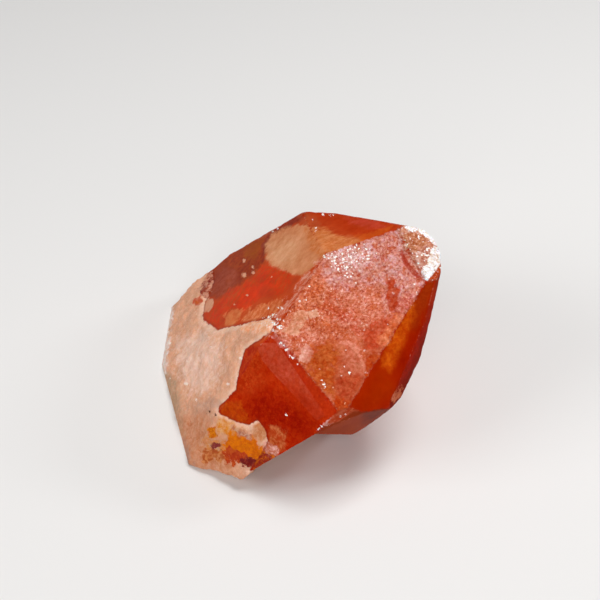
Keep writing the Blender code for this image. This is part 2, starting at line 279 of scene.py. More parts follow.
ZONES = {
    # Upper left face and top face.
    "smoky_zone": Zone(
        UPPER_LEFT, (0.27, 0.025, 0.002), [(222, 254), (246, 236), (266, 232), (266, 250), (262, 268),
        (246, 284), (228, 296), (210, 300), (200, 288)], 0.9, 0.8, 1.3, second=(0.34, 0.045, 0.004)),
    "mauve_glass": Zone(
        UPPER_LEFT, (0.34, 0.055, 0.022), [(213, 276), (222, 266), (233, 268), (238, 280), (230, 293),
        (216, 297), (209, 290)], 0.7, 0.5, 1.2, second=(0.28, 0.035, 0.01)),
    "olive_patch": Zone(
        UPPER_LEFT, (0.34, 0.06, 0.0), [(243, 247), (252, 240), (264, 239), (262, 250), (254, 258),
        (245, 256)], 0.5, 0.6, 0.9),
    "rim_haze": Zone(
        UPPER_LEFT, (0.36, 0.08, 0.03), [(224, 250), (250, 234), (276, 222), (274, 234), (252, 242),
        (228, 255)], 0.2, 0.1, 0.6),
    "bright_band": Zone(
        UPPER_LEFT, (0.6, 0.032, 0.0), [(203, 322), (206, 311), (218, 302), (230, 290), (243, 284),
        (253, 276), (262, 266), (272, 262), (291, 268), (292, 284), (284, 292), (274, 298), (262, 298),
        (252, 306), (238, 314), (226, 322), (216, 330), (209, 328)], 0.4, 0.5, 1.3,
        second=(0.5, 0.05, 0.003)),
    "glowing_core": Zone(
        UPPER_LEFT, (0.68, 0.034, 0.0), [(236, 304), (244, 292), (256, 285), (270, 278), (274, 286),
        (262, 295), (250, 304), (240, 311)], 0.5, 0.7),
    "brown_blot": Zone(
        UPPER_LEFT, (0.36, 0.035, 0.006), [(260, 291), (268, 287), (276, 292), (273, 301), (262, 301)],
        0.3, 0.9, 0.45),
    "orange_patch": Zone(
        UPPER_LEFT, (0.66, 0.18, 0.05), [(224, 316), (231, 310), (242, 309), (240, 318), (232, 325),
        (225, 326)], 0.2, 0.4, 0.9),
    "grainy_salmon": Zone(
        UPPER_LEFT, (0.6, 0.105, 0.022), [(239, 320), (250, 309), (264, 303), (282, 299), (284, 308),
        (276, 314), (262, 319), (246, 323)], 0.3, 0.7, 1.2, second=(0.7, 0.2, 0.07)),
    "pale_corner": Zone(
        UPPER_LEFT, (0.66, 0.3, 0.18), [(197, 300), (204, 297), (212, 298), (214, 305), (209, 312),
        (199, 312)], 0.12, 0.3, 1.3),
    "pale_flake": Zone(
        UPPER_LEFT, (0.62, 0.27, 0.17), [(203, 290), (209, 286), (211, 291), (206, 294)], 0.12, 0.3, 0.9),
    "dark_corner": Zone(
        UPPER_LEFT, (0.2, 0.02, 0.01), [(197, 290), (206, 278), (214, 274), (214, 283), (204, 293)], 0.3,
        0.7, 0.9),
    "dark_rim": Zone(
        UPPER, (0.24, 0.02, 0.005), [(262, 262), (262, 244), (270, 233), (290, 219), (304, 211),
        (306, 217), (292, 226), (274, 238), (268, 250)], 0.3, 0.35, 1.4),
    "brown_glass": Zone(
        UPPER, (0.42, 0.07, 0.02), [(298, 214), (314, 212), (322, 226), (314, 232), (302, 226)], 0.5, 0.5,
        0.8),
    "cream_cloud": Zone(
        UPPER, (0.635, 0.235, 0.1), [(266, 256), (267, 244), (272, 235), (284, 229), (297, 226),
        (312, 228), (326, 236), (330, 248), (320, 258), (312, 267), (301, 275), (290, 273), (282, 268),
        (272, 265)], 0.45, 0.3, 2.0, second=(0.615, 0.215, 0.09)),
    "cloud_core": Zone(
        UPPER, (0.68, 0.3, 0.145), [(269, 246), (276, 238), (288, 236), (298, 244), (300, 256),
        (292, 266), (278, 263), (271, 257)], 1.2, 0.4, 1.2),
    "peach_cloud": Zone(
        UPPER, (0.62, 0.195, 0.065), [(304, 228), (322, 228), (340, 236), (366, 239), (364, 248),
        (326, 262), (310, 250)], 0.5, 0.4, 1.2, second=(0.57, 0.14, 0.035)),
    "red_wedge": Zone(
        TOP, (0.44, 0.03, 0.003), [(300, 205), (400, 216), (398, 228), (368, 240), (352, 234), (330, 222),
        (312, 216)], 0.5, 0.5, 0.8),
    "pink_streak": Zone(
        TOP, (0.52, 0.055, 0.03), [(345, 219), (362, 218), (378, 222), (386, 227), (368, 228),
        (352, 224)], 0.4, 0.5, 0.7),
    "orange_corner": Zone(
        TOP, (0.56, 0.08, 0.008), [(354, 236), (366, 234), (392, 226), (384, 236), (366, 244)], 0.3, 0.4,
        0.8),
    # Frosted face.
    "left_border": Zone(
        FROSTED, (0.62, 0.15, 0.06), [(262, 336), (322, 254), (332, 262), (292, 316), (276, 340)], 0.5,
        0.9, 0.8),
    "lilac_top": Zone(
        FROSTED, (0.64, 0.33, 0.31), [(323, 254), (400, 224), (404, 250), (408, 262), (424, 280),
        (410, 300), (398, 320), (390, 318), (386, 296), (375, 284), (350, 290), (330, 285), (318, 270)],
        1.4, 1.5, second=(0.58, 0.19, 0.14)),
    # Pale frost with a painted sheen over it.
    "frost_and_sheen_patch": Zone(
        FROSTED, (0.7, 0.44, 0.4), [(326, 257), (345, 250), (366, 246), (374, 252), (370, 262),
        (362, 276), (350, 282), (344, 270), (330, 264)], 0.6, 1.2, 0.7),
    "red_streak": Zone(
        FROSTED, (0.43, 0.04, 0.01), [(388, 280), (394, 281), (399, 296), (398, 314), (390, 310),
        (387, 294)], 0.25, 0.9, 1.4, second=(0.52, 0.09, 0.04), group="late"),
    "crimson_patch": Zone(
        FROSTED, (0.6, 0.11, 0.085), [(396, 298), (414, 288), (409, 306), (397, 320), (391, 318)], 0.5,
        0.7, 0.8),
    "salmon_left": Zone(
        FROSTED, (0.56, 0.1, 0.025), [(296, 296), (318, 276), (334, 300), (330, 334), (310, 330),
        (286, 318)], 1.0, 1.5, 1.0, second=(0.68, 0.2, 0.09)),
    "crimson_middle": Zone(
        FROSTED, (0.56, 0.075, 0.03), [(326, 296), (344, 304), (362, 322), (356, 334), (336, 322),
        (322, 308)], 0.7, 1.3, 0.7),
    "pale_left": Zone(
        FROSTED, (0.7, 0.32, 0.2), [(283, 332), (289, 322), (294, 313), (304, 311), (309, 317),
        (303, 328), (298, 336), (289, 335)], 0.08, 0.6, 1.3, second=(0.66, 0.24, 0.13), group="late"),
    "pale_upper": Zone(
        FROSTED, (0.72, 0.34, 0.22), [(308, 312), (316, 310), (318, 316), (310, 319)], 0.08, 0.5, 1.3,
        group="late"),
    "pale_middle": Zone(
        FROSTED, (0.8, 0.41, 0.32), [(299, 360), (301, 349), (306, 344), (313, 351), (315, 360),
        (307, 364)], 0.05, 0.3, 1.6, second=(0.7, 0.28, 0.2), group="late"),
    "left_crest": Zone(
        (), (0.72, 0.33, 0.23), [(322, 256), (327, 257), (301, 293), (284, 313), (271, 336), (266, 335),
        (279, 309), (297, 288)], 0.25, 1.5, 0.8, second=(0.58, 0.1, 0.04), group="late"),
    "pale_lens": Zone(
        FROSTED, (0.55, 0.145, 0.075), [(340, 342), (349, 342), (358, 352), (365, 367), (364, 382),
        (359, 396), (350, 411), (340, 408), (335, 390), (334, 368), (336, 354)], 0.06, 0.15, 1.5,
        second=(0.5, 0.1, 0.045), group="late"),
    "lens_rim": Zone(
        FROSTED, (0.7, 0.23, 0.14), [(338, 343), (342, 340), (350, 341), (359, 351), (366, 366),
        (366, 384), (363, 382), (363, 368), (356, 353), (348, 344), (342, 344)], 0.1, 0.15, 0.9,
        group="late"),
    "orange_brown": Zone(
        FROSTED, (0.51, 0.1, 0.02), [(307, 364), (314, 348), (328, 342), (339, 350), (336, 372),
        (334, 396), (325, 392), (312, 379)], 1.4, 1.0, 1.6, second=(0.45, 0.055, 0.006), group="late"),
    "lens_foot": Zone(
        FROSTED, (0.47, 0.075, 0.024), [(335, 378), (350, 370), (364, 376), (358, 398), (348, 412),
        (338, 404)], 1.0, 0.5, 1.2, second=(0.42, 0.045, 0.012), group="late"),
    "red_middle": Zone(
        FROSTED, (0.5, 0.05, 0.014), [(366, 330), (384, 318), (400, 316), (392, 336), (378, 352),
        (364, 350)], 0.8, 1.2, 1.2, second=(0.57, 0.09, 0.035), group="late"),
    "tan_strip": Zone(
        FROSTED, (0.74, 0.23, 0.1), [(383, 330), (396, 313), (404, 316), (396, 336), (385, 350),
        (380, 344)], 0.5, 0.8, 1.0, second=(0.62, 0.11, 0.03), group="late"),
    "red_bottom": Zone(
        FROSTED, (0.43, 0.035, 0.003), [(366, 356), (374, 350), (380, 356), (366, 392), (350, 418),
        (334, 426), (331, 410), (337, 397), (346, 403), (356, 400), (364, 388)], 0.5, 0.6, 2.0,
        second=(0.48, 0.07, 0.015), group="late"),
    # Right face and the faces beside and below it.
    "brown_glow": Zone(
        RIGHT, (0.35, 0.028, 0.002), [(420, 290), (438, 270), (438, 300), (426, 330), (412, 330),
        (408, 306)], 1.0, 0.5, 1.3, second=(0.3, 0.02, 0.001)),
    "orange_glow": Zone(
        RIGHT, (0.63, 0.1, 0.004), [(396, 322), (404, 308), (413, 302), (413, 320), (404, 340),
        (398, 358), (390, 372), (383, 366), (386, 346)], 0.8, 0.4, second=(0.56, 0.06, 0.002)),
    "red_base": Zone(
        RIGHT, (0.34, 0.018, 0.0), [(362, 404), (376, 372), (388, 372), (396, 388), (384, 402),
        (364, 410)], 0.8, 0.6, 0.8),
    "red_depth": Zone(
        RIGHT, (0.32, 0.008, 0.0), [(425, 310), (436, 290), (434, 320), (412, 366), (398, 388),
        (398, 360)], 1.0, 0.5),
    "pink_chip": Zone(
        RIGHT, (0.52, 0.12, 0.05), [(396, 394), (402, 385), (405, 388), (400, 397), (394, 401)], 0.12,
        0.8, 1.0),
    "mauve_end": Zone(
        LOWER_RIGHT, (0.17, 0.026, 0.012), [(362, 406), (396, 402), (388, 424), (362, 424)], 0.8, 0.4),
    # Lower left face.
    "orange_mottle": Zone(
        LOWER_LEFT, (0.5, 0.05, 0.007), [(244, 352), (258, 338), (262, 362), (266, 384), (252, 394),
        (236, 392), (236, 372)], 0.8, 1.0, 0.85, second=(0.42, 0.02, 0.002)),
    "dark_depth": Zone(
        LOWER_LEFT, (0.29, 0.006, 0.001), [(248, 402), (262, 390), (282, 398), (298, 408), (314, 424),
        (306, 438), (290, 434), (264, 428), (250, 414)], 1.8, 0.4, 1.0, second=(0.35, 0.01, 0.001)),
    "brick_band": Zone(
        LOWER_LEFT, (0.5, 0.062, 0.026), [(256, 343), (277, 343), (300, 377), (326, 415), (317, 421),
        (294, 395), (271, 371), (262, 360)], 0.1, 0.04, 0.95, second=(0.46, 0.045, 0.014)),
    "band_foot": Zone(
        LOWER_LEFT, (0.42, 0.02, 0.002), [(284, 382), (298, 388), (328, 415), (317, 423), (296, 402)],
        0.9, 0.3, 0.8),
    "red_band": Zone(
        LOWER_LEFT, (0.47, 0.028, 0.004), [(280, 342), (297, 360), (319, 384), (338, 416), (330, 426),
        (315, 402), (300, 376)], 0.3, 0.2, 0.8),
    "brown_corner": Zone(
        LOWER_LEFT, (0.5, 0.06, 0.003), [(215, 408), (226, 401), (238, 402), (249, 412), (250, 426),
        (232, 424), (219, 417)], 0.5, 0.9, second=(0.4, 0.035, 0.003)),
    "brown_foot": Zone(
        LOWER_LEFT, (0.52, 0.12, 0.035), [(264, 442), (270, 428), (280, 427), (286, 436), (282, 450),
        (268, 462)], 0.5, 0.9, 1.1, second=(0.42, 0.05, 0.01)),
    "pink_chips": Zone(
        ("lower_left_face", "frosted_face"), (0.74, 0.3, 0.26), [(267, 334), (276, 332), (284, 338),
        (292, 348), (297, 359), (290, 357), (282, 347), (274, 340)], 0.12, 0.6, 0.75,
        second=(0.52, 0.1, 0.06)),
    "foot_chips": Zone(
        (), (0.78, 0.42, 0.36), [(315, 431), (319, 426), (327, 422), (333, 418), (334, 420), (325, 427),
        (319, 431)], 0.1, 0.5, 0.8),
    "red_wedge_foot": Zone(
        ("lower_right_face", "frosted_face"), (0.47, 0.05, 0.012), [(328, 424), (336, 412), (350, 403),
        (364, 405), (366, 409), (352, 412), (338, 420)], 0.25, 0.3, 1.5, second=(0.55, 0.11, 0.05)),
    "grains_beside_root": Zone(
        (), (0.52, 0.14, 0.08), [(263, 440), (270, 441), (278, 450), (279, 456), (270, 458), (264, 452)],
        0.2, 0.6, 1.2, second=(0.7, 0.34, 0.27)),
    "rust_beside_root": Zone(
        (), (0.56, 0.12, 0.008), [(262, 452), (275, 457), (269, 464), (259, 468), (252, 471), (254, 462)],
        0.3, 0.6, 1.4, second=(0.26, 0.02, 0.012)),
    # Chipped tip.
    "tip_haze": Zone(
        TIP, (0.5, 0.18, 0.12), [(416, 250), (428, 244), (432, 256), (424, 268), (414, 264)], 0.3, 0.5,
        1.2, second=(0.66, 0.36, 0.28)),
    "tip_brown": Zone(
        TIP, (0.4, 0.11, 0.035), [(405, 236), (412, 233), (424, 236), (428, 243), (416, 250), (404, 252),
        (402, 244)], 0.3, 0.5, 1.3, second=(0.6, 0.25, 0.13)),
    # Painted glint: the bright white band at the right of the tip.
    "tip_glint_band": Zone(
        ("chipped_tip", "right_face"), (0.96, 0.93, 0.92), [(433, 246), (439, 248), (442, 256),
        (440, 264), (434, 273), (428, 280), (423, 282), (421, 274), (422, 268), (427, 264), (430, 257),
        (431, 250)], 0.12, 0.25, 2.6),
    # Painted glint along the top rim of the tip.
    "tip_rim_glint": Zone(
        TIP, (0.95, 0.92, 0.9), [(405, 227), (411, 225), (422, 228), (429, 232), (434, 239), (438, 245),
        (432, 244), (427, 238), (423, 234), (417, 231), (408, 230)], 0.12, 0.4, 1.8),
    "tip_foot": Zone(
        TIP, (0.42, 0.045, 0.004), [(443, 260), (440, 266), (434, 274), (427, 282), (430, 288),
        (446, 288)], 0.15, 0.2, 2.0),
    "tip_line": Zone(
        ("chipped_tip", "frosted_face"), (0.38, 0.035, 0.015), [(399, 250), (402, 250), (408, 262),
        (415, 270), (424, 281), (420, 281), (412, 274), (404, 264)], 0.1, 0.15, 0.9, group="late"),
    # Milky root.
    "red_wedge_end": Zone(
        (), (0.3, 0.05, 0.025), [(199, 290), (204, 280), (214, 264), (222, 268), (216, 290), (209, 300),
        (203, 296)], 0.2, 0.6, 1.5, second=(0.6, 0.26, 0.17), group="root"),
    "salmon_fleck": Zone(
        (), (0.56, 0.1, 0.045), [(193, 300), (200, 297), (204, 301), (199, 306), (194, 305)], 0.2, 0.5,
        1.2, group="root"),
    "grey_rim": Zone(
        (), (0.46, 0.28, 0.17), [(155, 410), (155, 372), (166, 372), (176, 380), (181, 400), (190, 440),
        (198, 470), (170, 470)], 0.7, 0.5, 0.95, group="root"),
    "grey_foot": Zone(
        (), (0.3, 0.21, 0.22), [(181, 438), (186, 438), (193, 456), (198, 468), (186, 468)], 0.3, 0.4,
        0.9, group="root"),
    "white_rim": Zone(
        (), (0.84, 0.7, 0.64), [(158, 374), (160, 340), (164, 320), (170, 306), (174, 308), (171, 324),
        (168, 342), (167, 374)], 0.2, 0.4, 0.9, group="root"),
    "white_heart": Zone(
        (), (0.86, 0.57, 0.45), [(178, 336), (204, 332), (224, 346), (222, 366), (208, 392), (192, 394),
        (180, 372)], 1.2, 1.2, 0.8, group="root"),
    "grey_streak": Zone(
        (), (0.5, 0.28, 0.2), [(198, 402), (212, 396), (220, 402), (208, 414), (198, 420), (192, 414)],
        0.6, 0.7, 0.7, group="root"),
    "warm_foot": Zone(
        (), (0.56, 0.21, 0.1), [(178, 416), (206, 414), (222, 440), (240, 478), (188, 470)], 1.4, 1.0,
        1.1, second=(0.62, 0.28, 0.16), group="root"),
    "bright_crest": Zone(
        (), (0.84, 0.35, 0.18), [(238, 330), (262, 318), (272, 314), (280, 318), (276, 332), (258, 334)],
        0.4, 0.5, 1.3, second=(0.92, 0.54, 0.38), group="root"),
    "pale_inlet": Zone(
        (), (0.72, 0.4, 0.24), [(214, 422), (226, 420), (238, 430), (236, 438), (220, 434)], 0.4, 0.8,
        0.8, group="root"),
    "yellow_smear": Zone(
        (), (0.64, 0.2, 0.02), [(219, 418), (230, 421), (244, 430), (248, 440), (232, 440), (222, 434),
        (214, 431)], 0.5, 0.9, 1.2, second=(0.68, 0.32, 0.12), group="root"),
    "orange_halo": Zone(
        (), (0.66, 0.24, 0.06), [(202, 438), (214, 435), (227, 440), (228, 458), (206, 459)], 0.8, 1.2,
        0.9, second=(0.6, 0.3, 0.17), group="root"),
    "rust_stain": Zone(
        (), (0.7, 0.17, 0.004), [(225, 440), (231, 434), (242, 433), (252, 439), (262, 445), (268, 456),
        (262, 462), (250, 460), (238, 460), (228, 456), (223, 448)], 0.55, 1.0, 2.0,
        second=(0.6, 0.12, 0.005), group="root"),
    "brown_patch": Zone(
        (), (0.66, 0.2, 0.008), [(208, 428), (215, 427), (217, 436), (210, 438)], 0.2, 0.5, 2.2,
        second=(0.5, 0.1, 0.004), group="root"),
    "mauve_streak": Zone(
        (), (0.4, 0.14, 0.09), [(231, 425), (240, 428), (248, 433), (251, 440), (242, 437), (234, 431)],
        0.2, 0.7, 1.0, second=(0.55, 0.3, 0.2), group="root"),
    "rust_specks": Zone(
        (), (0.42, 0.08, 0.02), [(203, 449), (220, 448), (224, 458), (204, 459)], 0.12, 1.6, 1.2,
        second=(0.58, 0.2, 0.06), group="root"),
    "purple_specks": Zone(
        (), (0.22, 0.03, 0.03), [(211, 444), (219, 443), (222, 447), (213, 449)], 0.1, 0.7, 1.3,
        group="root"),
    "red_stain": Zone(
        (), (0.44, 0.04, 0.01), [(225, 451), (232, 447), (243, 452), (250, 458), (240, 463), (228, 462)],
        0.25, 1.1, 2.4, second=(0.52, 0.08, 0.015), group="root"),
    "maroon_stain": Zone(
        (), (0.17, 0.014, 0.014), [(239, 459), (250, 457), (259, 461), (255, 469), (243, 467)], 0.2, 0.8,
        2.0, second=(0.3, 0.04, 0.02), group="root"),
    "pale_blob": Zone(
        (), (0.55, 0.2, 0.08), [(254, 426), (260, 422), (267, 430), (267, 438), (260, 442), (254, 436)],
        0.4, 0.3, 1.5, second=(0.62, 0.29, 0.15), group="root"),
    "pink_grains": Zone(
        (), (0.72, 0.32, 0.26), [(262, 442), (270, 440), (276, 450), (270, 458), (264, 452)], 0.2, 0.5,
        0.8, group="root"),
}

# Where the frosted face has fewer grains.
QUIET_PART = Zone(
    (), None, [(296, 352), (322, 344), (352, 338), (372, 330), (400, 314), (376, 372), (350, 424),
    (326, 424)], 1.2, 0.8, 0.65)

# Where painted sparkles (glints painted into the colour) crowd. The last number is the share of grains that
# sparkle there.
SPARKLING = {
    "frost_glitter": Zone(
        FROSTED, None, [(324, 257), (345, 249), (366, 245), (372, 254), (364, 262), (350, 266),
        (354, 280), (344, 276), (332, 266)], 1.0, 0.8, 0.5),
    "tip_glitter": Zone(
        TIP, None, [(400, 226), (440, 226), (444, 280), (424, 284), (406, 262)], 0.3, 0.3, 0.1),
    "crest_glitter": Zone(
        (), None, [(260, 322), (272, 313), (285, 320), (281, 332), (264, 331)], 0.4, 0.4, 0.4),
    "left_glitter": Zone(FROSTED, None, [(268, 336), (324, 256), (330, 262), (286, 330)], 0.4, 0.5, 0.03),
}

# Small spots, by colour: across and down in pixels of the photograph, and radius in pixels. The GLINT and
# SOFT_GLINT spots are painted highlights.
SPOTS = (
    (GLINT, (
        (281, 343, 1.6), (284, 346, 1.2), (286.5, 349.5, 1.4), (290, 356, 1.3), (292.5, 357.5, 1.2),
        (297.5, 364, 1), (286.3, 414.5, 1.3), (349.5, 372.7, 1.2), (344.5, 366.5, 0.8), (322, 380, 0.8),
        (323.7, 384, 1.5), (325, 387, 1), (319, 429, 1.3), (322, 426.5, 1.4), (340.5, 416.5, 0.9),
        (345.5, 414, 0.9), (316, 228, 1), (315.8, 230.5, 0.9), (312.7, 219.5, 0.7), (323, 214.5, 1.1),
        (330, 215, 0.8), (333.5, 214.8, 0.9), (273, 231.5, 1), (277.5, 228.5, 1), (324.5, 256.5, 1.4),
        (356.5, 244.5, 1.2), (419, 237, 1.6), (414, 284, 1), (417, 292, 0.9), (282, 308, 1.2),
        (278, 307.5, 0.9), (268.5, 308, 1), (278, 327, 1.6), (273.5, 330.5, 1.3), (268.5, 317, 1.3),
    )),
    (PALE_DOT, (
        (344.7, 402.7, 0.8), (333, 387, 0.9), (244, 275, 2.6), (244, 260.6, 1.8), (252.7, 267, 1.5),
        (253.3, 272.5, 1.6), (234.4, 304.4, 0.9), (247, 295, 1.2), (271.5, 277, 0.8),
    )),
    (SOFT_GLINT, (
        (187, 361, 1.4), (186, 383.5, 1.7), (196.3, 399.5, 1.4), (228, 384, 1.4), (240.5, 358.5, 1.5),
        (210.5, 346.5, 1.1), (170.5, 378.5, 1), (168, 332, 1.3), (169, 343, 1.4), (171.5, 318, 1.4),
    )),
    (BLACK_DOT, (
        (209.5, 411.5, 1.2), (215.7, 415.2, 1.3), (207, 414, 0.7),
    )),
    (MAROON_DOT, (
        (200.5, 291.5, 1.3), (205, 286.5, 1.4), (209, 281, 1.5), (243, 466, 1.2), (249, 463.5, 1.8),
        (246, 461, 1.1),
    )),
    (SALMON, (
        (197, 302.5, 1.8),
    )),
)


FLOOR_HALF_SIZE = 1.5
FLOOR_COLOUR = (0.8, 0.79, 0.78)
FLOOR_ROUGHNESS = 0.9
WORLD_COLOUR = (1.0, 0.99, 0.97)
WORLD_STRENGTH = 0.1
# Name, direction from the crystal, distance and size in metres, and power in watts.
LIGHTS = (
    ("key_light", (0.3, 0.05, 0.95), 0.45, 0.2, 1.35),
    ("right_light", (0.95, 0.02, 0.6), 0.4, 0.08, 0.28),
    ("front_light", (-0.1, -0.9, 0.6), 0.6, 0.3, 1.0),
    ("left_light", (-0.95, -0.25, 0.55), 0.5, 0.25, 0.95),
)


def stand(direction):
    return STAND @ direction


def outward(turn, slope):
    """The outward direction of a face in the scene."""
    turn, slope = math.radians(turn), math.radians(slope)
    level = math.sin(slope)
    return stand(Vector((level * math.cos(turn), level * math.sin(turn), math.cos(slope))))


def camera_axes():
    """The camera's right, up and backward directions."""
    azimuth, elevation = math.radians(CAMERA_AZIMUTH), math.radians(CAMERA_ELEVATION)
    level = math.cos(elevation)
    back = Vector((math.sin(azimuth) * level, -math.cos(azimuth) * level, math.sin(elevation)))
    right = Vector((0.0, 0.0, 1.0)).cross(back).normalized()
    return right, back.cross(right), back


def smooth(value):
    value = np.clip(value, 0.0, 1.0)
    return value * value * (3.0 - 2.0 * value)


def photo_pixels(points):
    """Where points of the object, in millimetres, lie in the photograph."""
    right, up, back = (np.array(axis) for axis in camera_axes())
    seen = (points - np.array(CAMERA_TARGET)) / PIXEL
    scale = PHOTO_DISTANCE / (PHOTO_DISTANCE - seen @ back)
    return np.stack([PHOTO_SIZE / 2 + seen @ right * scale, PHOTO_SIZE / 2 - seen @ up * scale], axis=1)


def depth_inside(places, outline):
    """Signed distance of flat places from an outline, positive inside."""
    nearest = np.full(len(places), np.inf)
    inside = np.zeros(len(places), bool)
    corners = np.array(outline, float)
    for start, end in zip(corners, np.roll(corners, -1, axis=0)):
        along = end - start
        share = np.clip((places - start) @ along / (along @ along), 0.0, 1.0)
        nearest = np.minimum(nearest, np.linalg.norm(places - start - share[:, None] * along, axis=1))
        if start[1] != end[1]:
            spans = (start[1] > places[:, 1]) != (end[1] > places[:, 1])
            crossing = start[0] + (places[:, 1] - start[1]) * along[0] / along[1]
            inside ^= spans & (places[:, 0] < crossing)
    return np.where(inside, nearest, -nearest)


def noise_at(points, size, octaves=1):
    """Noise between about -1 and 1 at each point, with features of a size."""
    places = points / size
    if octaves == 1:
        return np.array([noise.noise(Vector(place)) for place in places])
    return np.array([noise.fractal(Vector(place), 1.0, 2.0, octaves) for place in places])


def in_crystal(points):
    """Points in the crystal's own directions: depth to the front, distance across, height along it."""
    return (points - np.array(CENTRE)) @ np.array(STAND)


def milky_depth(points):
    """How far points lie inside the milky root. It is negative on the red crystal."""
    depth, across, height = in_crystal(points).T
    outline = [(-FAR, -FAR), *MILKY_EDGE, (FAR, -FAR)]
    on_front = depth_inside(np.stack([across, height], axis=1), outline)
    flat = np.stack([depth, across, np.zeros(len(depth))], axis=1) / WAVE_SIZE + np.array(NOISE_SEED)
    on_back = MILKY_BACK_HEIGHT + WAVE_HEIGHT * noise_at(flat, 1.0) - height
    start, end = BACK_BLEND
    blend = smooth((depth - start) / (end - start))
    return on_front * (1.0 - blend) + on_back * blend


# The crystal's mesh


def cad_mesh():
    """A welded copy of the crystal's solid."""
    bm = bmesh.new()
    bm.from_mesh(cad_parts[NODE].data)
    bmesh.ops.remove_doubles(bm, verts=bm.verts, dist=WELD_DISTANCE * MM)
    bmesh.ops.dissolve_limit(bm, angle_limit=FLAT_ANGLE, verts=bm.verts, edges=bm.edges)
    bmesh.ops.triangulate(bm, faces=bm.faces)
    bm.normal_update()
    return bm


def crystal_edges(bm):
    """Points along the edges between the crystal's flat faces, to measure distances from."""
    ends = []
    root_faces = [outward(turn, slope) for turn, slope in ROOT_FACES]
    for edge in bm.edges:
        normals = [face.normal for face in edge.link_faces]
        beside_root = any(normal.dot(side) > SAME_DIRECTION for normal in normals for side in root_faces)
        if edge.calc_face_angle(0.0) > WORN_ANGLE and not beside_root:
            ends.append([np.array(corner.co) / MM for corner in edge.verts])
    ends = np.array(ends)
    outside_root = milky_depth(ends.mean(axis=1)) < -ROOT_MARGIN
    found = []
    for start, end in ends[outside_root]:
        count = max(2, math.ceil(np.linalg.norm(end - start) / WORN_STEP))
        found.extend(start + (end - start) * share for share in np.linspace(0.0, 1.0, count))
    tree = kdtree.KDTree(len(found))
    for index, point in enumerate(found):
        tree.insert(point, index)
    tree.balance()
    return tree


def refine(bm):
    """Splits long edges until the mesh can carry the fine relief."""
    back = camera_axes()[2]
    for _ in range(REFINE_ROUNDS):
        long_edges = []
        for edge in bm.edges:
            along = (edge.verts[1].co - edge.verts[0].co) / MM
            shown = max(face.normal.dot(back) for face in edge.link_faces) > 0.0
            if along.length > COARSE_SPACING or (shown and along.cross(back).length > FINE_SPACING):
                long_edges.append(edge)
        if not long_edges:
            return
        bmesh.ops.subdivide_edges(bm, edges=long_edges, cuts=1)
        bmesh.ops.triangulate(bm, faces=bm.faces)
        flat = [edge for edge in bm.edges if edge.calc_face_angle(math.pi) < FLAT_ANGLE]
        bmesh.ops.beautify_fill(bm, faces=bm.faces, edges=flat)
        bm.normal_update()


def facet_depths(points, triangles, normals):
    """How far points lie inside each named facet's outline. It is negative beyond its edges."""
    heights = {}
    for name, directions in FACETS.items():
        heights[name] = np.full(len(points), -np.inf)
        for turn, slope in directions:
            direction = np.array(outward(turn, slope))
            on_face = triangles[normals @ direction > SAME_DIRECTION]
            level = (points[on_face] @ direction).mean()
            heights[name] = np.maximum(heights[name], points @ direction - level)
    depths = {}
    for name, height in heights.items():
        others = [other for key, other in heights.items() if key != name]
        depths[name] = height - np.max(others, axis=0)
    return depths


def relief(points, facets, milky, edge_distance):
    """How far the surface stands out from the flat faces at each point."""
    on_frost = np.maximum(facets["frosted_face"], facets["chipped_tip"])
    frost = smooth((on_frost - FROST_START) / FROST_FADE)
    red = 1.0 - smooth((milky - ROOT_START) / ROOT_FADE)
    # Growth marks and pits of the frosted face.
    pits = PIT_DEPTH * smooth(noise_at(points + PIT_SHIFT, PIT_SIZE) * 2.0)
    height = frost * red * (GROWTH_HEIGHT * noise_at(points, GROWTH_SIZE, 3) - pits)
    # Broad, faint waves of the glassy faces.
    height += (1.0 - frost) * red * SWELL_HEIGHT * noise_at(points, SWELL_SIZE)
    # Steps and grains of the broken root.
    crumbs = CRUMB_HEIGHT * noise_at(points + CRUMB_SHIFT, CRUMB_SIZE, 2)
    height += (1.0 - red) * (STEP_HEIGHT * noise_at(points, STEP_SIZE, 4) + crumbs)
    # Worn and chipped edges.
    chips = np.clip(CHIP_SHARE + CHIP_CONTRAST * noise_at(points, CHIP_SIZE, 2), 0.0, CHIP_MOST)
    height -= red * CHIP_DEPTH * chips * smooth(1.0 - edge_distance / CHIP_WIDTH)
    return height * smooth(points[:, 2] / BASE_FADE)


def rows(collection, field, kind=float):
    """A property of every item of a collection, as rows of three numbers."""
    values = np.empty(len(collection) * 3, kind)
    collection.foreach_get(field, values)
    return values.reshape(-1, 3)


def attribute(mesh, name, values):
    mesh.attributes.new(name, "FLOAT", "POINT").data.foreach_set("value", np.asarray(values, np.float32))


